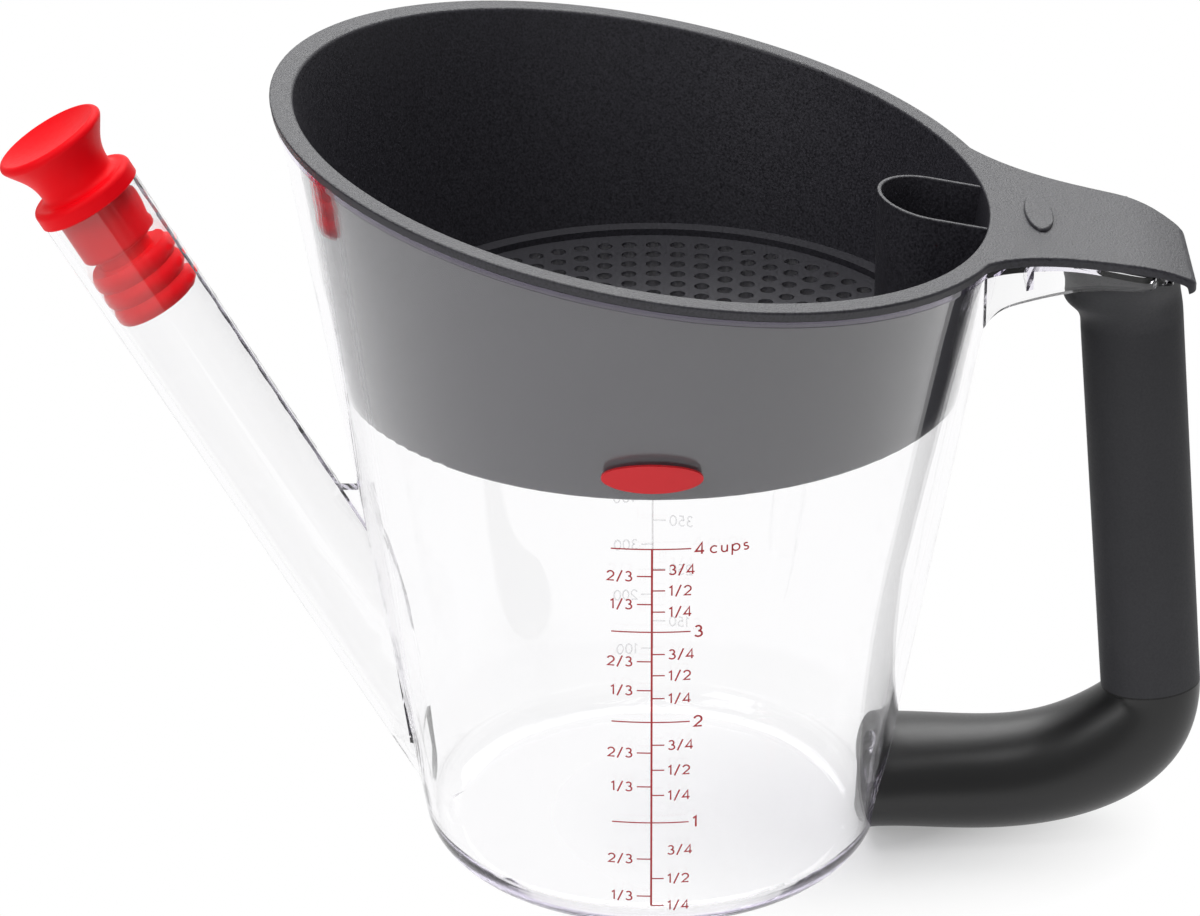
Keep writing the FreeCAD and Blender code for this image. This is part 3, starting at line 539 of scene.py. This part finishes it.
def print_tree():
    """A tree that puts a flat print on the cup's wall.

    Its input is flat: x is the way round the wall and y the height. Points with a tick length become
    ticks, and everything is then wrapped on the cone, turned to the side that it faces, and inked."""
    tree = bpy.data.node_groups.new("print on the cup", "GeometryNodeTree")
    sockets = tree.interface
    sockets.new_socket("Geometry", in_out="INPUT", socket_type="NodeSocketGeometry")
    names = {}
    for name, kind in (("Wall Radius", "Float"), ("Wall Taper", "Float"), ("Tick Width", "Float"),
                       ("Turn", "Float"), ("Ink", "Material")):
        names[name] = sockets.new_socket(name, in_out="INPUT", socket_type="NodeSocket" + kind).identifier
    sockets.new_socket("Geometry", in_out="OUTPUT", socket_type="NodeSocketGeometry")
    given = add(tree, "NodeGroupInput").outputs
    length = add(tree, "GeometryNodeInputNamedAttribute", [("Name", "tick")], data_type="FLOAT")
    is_tick = add(tree, "FunctionNodeCompare", [(0, length), (1, TICK_LEAST)], data_type="FLOAT",
                  operation="GREATER_THAN")
    bar = add(tree, "GeometryNodeMeshGrid", [("Size X", 1.0), ("Size Y", given["Tick Width"]),
                                             ("Vertices X", TICK_POINTS), ("Vertices Y", 2)])
    stretch = add(tree, "ShaderNodeCombineXYZ", [("X", length), ("Y", 1.0), ("Z", 1.0)])
    ticks = add(tree, "GeometryNodeInstanceOnPoints", [
        ("Points", given["Geometry"]), ("Selection", is_tick), ("Instance", bar), ("Scale", stretch)])
    real = add(tree, "GeometryNodeRealizeInstances", [("Geometry", ticks)])
    letters = add(tree, "GeometryNodeDeleteGeometry", [("Geometry", given["Geometry"]),
                                                       ("Selection", is_tick)])
    joined = add(tree, "GeometryNodeJoinGeometry", [("Geometry", real), ("Geometry", letters)])
    flat = add(tree, "ShaderNodeSeparateXYZ", [(0, add(tree, "GeometryNodeInputPosition"))]).outputs
    radius = add(tree, "ShaderNodeMath", [(0, flat["Y"]), (1, given["Wall Taper"]),
                                          (2, given["Wall Radius"])], operation="MULTIPLY_ADD")
    round_wall = add(tree, "ShaderNodeMath", [(0, flat["X"]), (1, radius)], operation="DIVIDE")
    angle = add(tree, "ShaderNodeMath", [(0, round_wall), (1, given["Turn"])], operation="ADD")
    sine = add(tree, "ShaderNodeMath", [(0, angle)], operation="SINE")
    cosine = add(tree, "ShaderNodeMath", [(0, angle)], operation="COSINE")
    back = add(tree, "ShaderNodeMath", [(0, radius), (1, -1.0)], operation="MULTIPLY")
    x = add(tree, "ShaderNodeMath", [(0, radius), (1, sine)], operation="MULTIPLY")
    y = add(tree, "ShaderNodeMath", [(0, back), (1, cosine)], operation="MULTIPLY")
    place = add(tree, "ShaderNodeCombineXYZ", [("X", x), ("Y", y), ("Z", flat["Y"])])
    wrapped = add(tree, "GeometryNodeSetPosition", [("Geometry", joined), ("Position", place)])
    flattened = add(tree, "GeometryNodeRealizeInstances", [("Geometry", wrapped)])
    inked = add(tree, "GeometryNodeSetMaterial", [("Geometry", flattened), ("Material", given["Ink"])])
    add(tree, "NodeGroupOutput", [("Geometry", inked)])
    return tree, names


INK_CLEARANCE = 0.01 * MM
INK_FILM = 0.03 * MM


def print_on_cup(name, flat, ticks, tree, names, turn, ink):
    """Wraps a flat print and its ticks, given as (middle, height, length), on the cup and gives it a body."""
    layer = flat.verts.layers.float.new("tick")
    for middle, height, length in ticks:
        flat.verts.new((middle, height, 0))[layer] = length
    mesh = bpy.data.meshes.new(name + " drawing")
    flat.to_mesh(mesh)
    flat.free()
    drawing = bpy.data.objects.new(name + " drawing", mesh)
    bpy.context.scene.collection.objects.link(drawing)
    wrap = drawing.modifiers.new("wrap", "NODES")
    wrap.node_group = tree
    wrap[names["Wall Radius"]] = WALL_RADIUS + INK_CLEARANCE
    wrap[names["Wall Taper"]] = WALL_TAPER
    wrap[names["Tick Width"]] = TICK_WIDTH
    wrap[names["Turn"]] = turn
    wrap[names["Ink"]] = ink
    film = drawing.modifiers.new("film", "SOLIDIFY")
    film.thickness = INK_FILM
    film.offset = 1.0
    shaped = drawing.evaluated_get(bpy.context.evaluated_depsgraph_get())
    printed = bpy.data.objects.new(name, bpy.data.meshes.new_from_object(shaped))
    printed.data.name = name
    bpy.data.objects.remove(drawing)
    bpy.context.scene.collection.objects.link(printed)
    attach(printed, CUP_AND_HANDLE)


# Height of each printed mark on the wall, in mm. A cup is 236.6 ml.
CUP_MARKS = {
    4: 99.99, 3.75: 94.98, 3.667: 93.36, 3.5: 89.84, 3.333: 86.45, 3.25: 84.59, 3: 79.55, 2.75: 73.98,
    2.667: 72.14, 2.5: 68.62, 2.333: 64.80, 2.25: 62.79, 2: 56.67, 1.75: 50.78, 1.667: 48.72, 1.5: 44.25,
    1.333: 39.87, 1.25: 37.63, 1: 30.35, 0.75: 23.05, 0.667: 20.61, 0.5: 15.36, 0.333: 10.56, 0.25: 8.04,
}
RIGHT_FRACTIONS = {0.25: "1/4", 0.5: "1/2", 0.75: "3/4"}
LEFT_FRACTIONS = {0.333: "1/3", 0.667: "2/3"}
# The one quarter mark that is printed without its tick.
UNTICKED = 0.75
# How far the marks reach from the stem, and where their labels start.
WHOLE_LEFT = 8.15 * MM
WHOLE_RIGHT = 7.75 * MM
RIGHT_TICK = 2.62 * MM
LEFT_TICK = 3.00 * MM
RIGHT_LABEL = 3.38 * MM
LEFT_LABEL = 3.95 * MM
WHOLE_LABEL = 8.55 * MM
# Heights of the digits, and the gap before the unit's name.
FRACTION_HEIGHT = 2.40 * MM
WHOLE_HEIGHT = 2.80 * MM
UNIT_GAP = 0.42 * WHOLE_HEIGHT
# Widths of the lines.
PEN = 0.33 * MM
WHOLE_PEN = 1.25 * PEN
STEM_WIDTH = 0.42 * MM
TICK_WIDTH = 0.30 * MM


def mark_right(flat, ticks, label, y):
    """A mark to the right of the stem. Its tick is left out where ticks is None."""
    if ticks is not None:
        ticks.append((RIGHT_TICK / 2, y, RIGHT_TICK))
    write(flat, label, RIGHT_LABEL, y, FRACTION_HEIGHT, PEN)


def mark_left(flat, ticks, label, y):
    """A mark to the left of the stem."""
    ticks.append((-LEFT_TICK / 2, y, LEFT_TICK))
    write(flat, label, -LEFT_LABEL - text_width(label, FRACTION_HEIGHT), y, FRACTION_HEIGHT, PEN)


def make_cup_scale(tree, names):
    """The red scale in cups: a stem, long marks at whole cups, quarters on the right, thirds on the left."""
    flat = bmesh.new()
    ticks = []
    for cups, height in CUP_MARKS.items():
        part = round(cups % 1, 3)
        y = height * MM
        if part == 0:
            ticks.append(((WHOLE_RIGHT - WHOLE_LEFT) / 2, y, WHOLE_LEFT + WHOLE_RIGHT))
            end = write(flat, str(cups), WHOLE_LABEL, y, WHOLE_HEIGHT, WHOLE_PEN)
            if height == max(CUP_MARKS.values()):
                write(flat, "cups", end + UNIT_GAP, y, WHOLE_HEIGHT, PEN)
        elif part in RIGHT_FRACTIONS:
            mark_right(flat, None if cups == UNTICKED else ticks, RIGHT_FRACTIONS[part], y)
        else:
            mark_left(flat, ticks, LEFT_FRACTIONS[part], y)
    low, high = min(CUP_MARKS.values()) * MM, max(CUP_MARKS.values()) * MM
    pen_line(flat, [Vector((0, low)), Vector((0, high))], STEM_WIDTH)
    ink = pad_printed_ink("red pad-printed ink", "#b80c1c")
    print_on_cup("cup_scale_print", flat, ticks, tree, names, 0.0, ink)


# The metric marks, in millilitres, stand at the height where the cone holds that much above its floor.
METRIC_LOW = 100
METRIC_HIGH = 1000
METRIC_STEP = 50
METRIC_RIGHT = 100
# How far the stem goes on above the last mark.
METRIC_STEM_PAST = 6 * MM
# The clear wall's thickness and the floor's height, in mm.
WALL_THICKNESS = 2.0
FLOOR_HEIGHT = 0.6
CUBIC_MM_PER_ML = 1000


def metric_height(millilitres):
    """Height of the liquid's surface: the cone's volume above the floor, solved for its height."""
    bottom = WALL_RADIUS / MM - WALL_THICKNESS + WALL_TAPER * FLOOR_HEIGHT
    volume = millilitres * CUBIC_MM_PER_ML
    top = (3 * WALL_TAPER * volume / math.pi + bottom ** 3) ** (1 / 3)
    return (FLOOR_HEIGHT + (top - bottom) / WALL_TAPER) * MM


def make_metric_scale(tree, names):
    """The pale scale in millilitres on the far side: hundreds right of its stem, fifties on the left."""
    flat = bmesh.new()
    ticks = []
    for millilitres in range(METRIC_LOW, METRIC_HIGH + 1, METRIC_STEP):
        mark = mark_left if millilitres % METRIC_RIGHT else mark_right
        mark(flat, ticks, str(millilitres), metric_height(millilitres))
    low, high = metric_height(METRIC_LOW), metric_height(METRIC_HIGH) + METRIC_STEM_PAST
    pen_line(flat, [Vector((0, low)), Vector((0, high))], STEM_WIDTH)
    ink = pad_printed_ink("grey pad-printed ink", "#e6e6e8", cover=0.25)
    print_on_cup("metric_scale_print", flat, ticks, tree, names, math.pi, ink)


# ---------------------------------------------------------------- studio

WHITE = (1, 1, 1, 1)


def looked_at(tree, rays):
    """1 for rays from the eye and for those that gloss and clear walls send on, 0 for light on its way."""
    seen = add(tree, "ShaderNodeMath", [(0, rays["Is Camera Ray"]), (1, rays["Is Glossy Ray"])],
               operation="MAXIMUM")
    return add(tree, "ShaderNodeMath", [(0, seen), (1, rays["Is Transmission Ray"])], operation="MAXIMUM")


# The floor lies a little under the object and is this far from its middle to its edge.
FLOOR_DROP = 0.15 * MM
FLOOR_REACH = 3.0
# To the left and right of the middle the floor's glow falls from 1 to this level between two distances.
DIM_START = 0.24
DIM_END = 0.42
DIM_LEVEL = 0.30
# The shadow lies in an oval: its middle, with the sheet squeezed as the next line says, how much of what
# is seen there glows, and the distances between which that share goes up to 1.
SHADOW_MIDDLE = (0.045, 0.0, 0.0)
SHADOW_SQUEEZE = (1.0, 1.5, 1.0)
SHADOW_GLOW = 0.32
SHADOW_CORE = 0.018
SHADOW_END = 0.067


def make_floor():
    """A pale acrylic sweep. What is seen of it glows white, except for the object's shadow on its paint.

    Straight from the eye it is as white as the room. Bent rays meet the dim edge of the studio beyond its
    lit middle, and the glow gives no light of its own to the object's diffuse colours."""
    mesh = bpy.data.meshes.new("studio floor")
    reach = FLOOR_REACH
    mesh.from_pydata([(-reach, -reach, -FLOOR_DROP), (reach, -reach, -FLOOR_DROP),
                      (reach, reach, -FLOOR_DROP), (-reach, reach, -FLOOR_DROP)], [], [(0, 1, 2, 3)])
    floor = bpy.data.objects.new("studio floor", mesh)
    bpy.context.scene.collection.objects.link(floor)
    material, tree = new_material("pale acrylic sweep")
    rays = add(tree, "ShaderNodeLightPath").outputs
    paint = add(tree, "ShaderNodeBsdfDiffuse", [("Color", srgb("#fafafa"))])
    place = add(tree, "ShaderNodeTexCoord").outputs["Object"]
    part = add(tree, "ShaderNodeSeparateXYZ", [(0, place)]).outputs
    aside = add(tree, "ShaderNodeMath", [(0, part["X"])], operation="ABSOLUTE")
    dimmed = add(tree, "ShaderNodeMapRange", [("Value", aside), ("From Min", DIM_START),
                                              ("From Max", DIM_END), ("To Min", 1.0),
                                              ("To Max", DIM_LEVEL)], interpolation_type="SMOOTHSTEP")
    strength = add(tree, "ShaderNodeMath", [(0, rays["Is Camera Ray"]), (1, dimmed)], operation="MAXIMUM")
    glow = add(tree, "ShaderNodeEmission", [("Color", WHITE), ("Strength", strength)])
    squeezed = add(tree, "ShaderNodeVectorMath", [(0, place), (1, SHADOW_SQUEEZE)], operation="MULTIPLY")
    away = add(tree, "ShaderNodeVectorMath", [(0, squeezed), (1, SHADOW_MIDDLE)],
               operation="DISTANCE").outputs["Value"]
    glowing = add(tree, "ShaderNodeMapRange", [("Value", away), ("From Min", SHADOW_CORE),
                                               ("From Max", SHADOW_END), ("To Min", SHADOW_GLOW),
                                               ("To Max", 1.0)])
    share = add(tree, "ShaderNodeMath", [(0, looked_at(tree, rays)), (1, glowing)], operation="MULTIPLY")
    mixed = add(tree, "ShaderNodeMixShader", [(0, share), (1, paint), (2, glow)])
    add(tree, "ShaderNodeOutputMaterial", [("Surface", mixed)])
    mesh.materials.append(material)


# The room's level falls towards its sides, from 1 to SIDE_LEVEL, and towards the eye, to FRONT_LEVEL. The
# other values say where on the direction's X and Y that happens.
SIDE_START = 0.45
SIDE_END = 0.80
SIDE_LEVEL = 0.35
FRONT_START = -0.25
FRONT_END = 0.45
FRONT_LEVEL = 0.40
# The even light that the room gives to diffuse colours.
ROOM_LIGHT = 0.34


def make_world():
    """A white room, dimmer at its sides and at the front, so that clear edges and glossy walls draw grey.

    Straight from the eye it is plain white, and its even light on the object is weak."""
    world = bpy.data.worlds.new("white studio")
    bpy.context.scene.world = world
    world.use_nodes = True
    tree = world.node_tree
    tree.nodes.clear()
    rays = add(tree, "ShaderNodeLightPath").outputs
    looking = add(tree, "ShaderNodeTexCoord").outputs["Generated"]
    way = add(tree, "ShaderNodeSeparateXYZ", [(0, looking)]).outputs
    aside = add(tree, "ShaderNodeMath", [(0, way["X"])], operation="ABSOLUTE")
    sides = add(tree, "ShaderNodeMapRange", [("Value", aside), ("From Min", SIDE_START),
                                             ("From Max", SIDE_END), ("To Min", 1.0),
                                             ("To Max", SIDE_LEVEL)], interpolation_type="SMOOTHSTEP")
    front = add(tree, "ShaderNodeMapRange", [("Value", way["Y"]), ("From Min", FRONT_START),
                                             ("From Max", FRONT_END), ("To Min", FRONT_LEVEL),
                                             ("To Max", 1.0)], interpolation_type="SMOOTHSTEP")
    dimmed = add(tree, "ShaderNodeMath", [(0, sides), (1, front)], operation="MULTIPLY")
    seen = add(tree, "ShaderNodeMath", [(0, rays["Is Camera Ray"]), (1, dimmed)], operation="MAXIMUM")
    strength = add(tree, "ShaderNodeMix", [(0, looked_at(tree, rays)), (2, ROOM_LIGHT), (3, seen)],
                   data_type="FLOAT")
    sky = add(tree, "ShaderNodeBackground", [("Color", WHITE), ("Strength", strength)])
    add(tree, "ShaderNodeOutputWorld", [("Surface", sky)])


# Each softbox: its place, width and height in metres, and power in watts. All of them shine at LIT_POINT.
LIT_POINT = (0.0, 0.0, 0.08)
SOFTBOXES = {
    "overhead softbox": ((-0.05, -0.05, 1.15), (0.7, 0.5), 5.0),
    "back softbox": ((0.15, 0.85, 1.00), (1.1, 0.7), 8.0),
    "front softbox": ((-0.80, -0.75, 0.80), (0.6, 0.8), 3.8),
}


def make_lamps():
    """A softbox straight above, a large one above and behind, and a weaker one at the front left."""
    for name, (place, size, power) in SOFTBOXES.items():
        data = bpy.data.lights.new(name, "AREA")
        data.shape = "RECTANGLE"
        data.size, data.size_y = size
        data.energy = power
        lamp = bpy.data.objects.new(name, data)
        bpy.context.scene.collection.objects.link(lamp)
        lamp.location = place
        lamp.rotation_euler = (Vector(LIT_POINT) - Vector(place)).to_track_quat("-Z", "Y").to_euler()


LIGHT_BOUNCES = 32


def let_light_through():
    """Lets light bounce often enough to get out of the clear moulding. It would end there as black lines."""
    cycles = bpy.context.scene.cycles
    cycles.max_bounces = LIGHT_BOUNCES
    cycles.glossy_bounces = LIGHT_BOUNCES
    cycles.transmission_bounces = LIGHT_BOUNCES


bpy.context.scene.view_settings.view_transform = "Standard"
let_light_through()
make_camera()
finish_nodes()
round_strainer()
wrapping, inputs = print_tree()
make_cup_scale(wrapping, inputs)
make_metric_scale(wrapping, inputs)
make_floor()
make_world()
make_lamps()
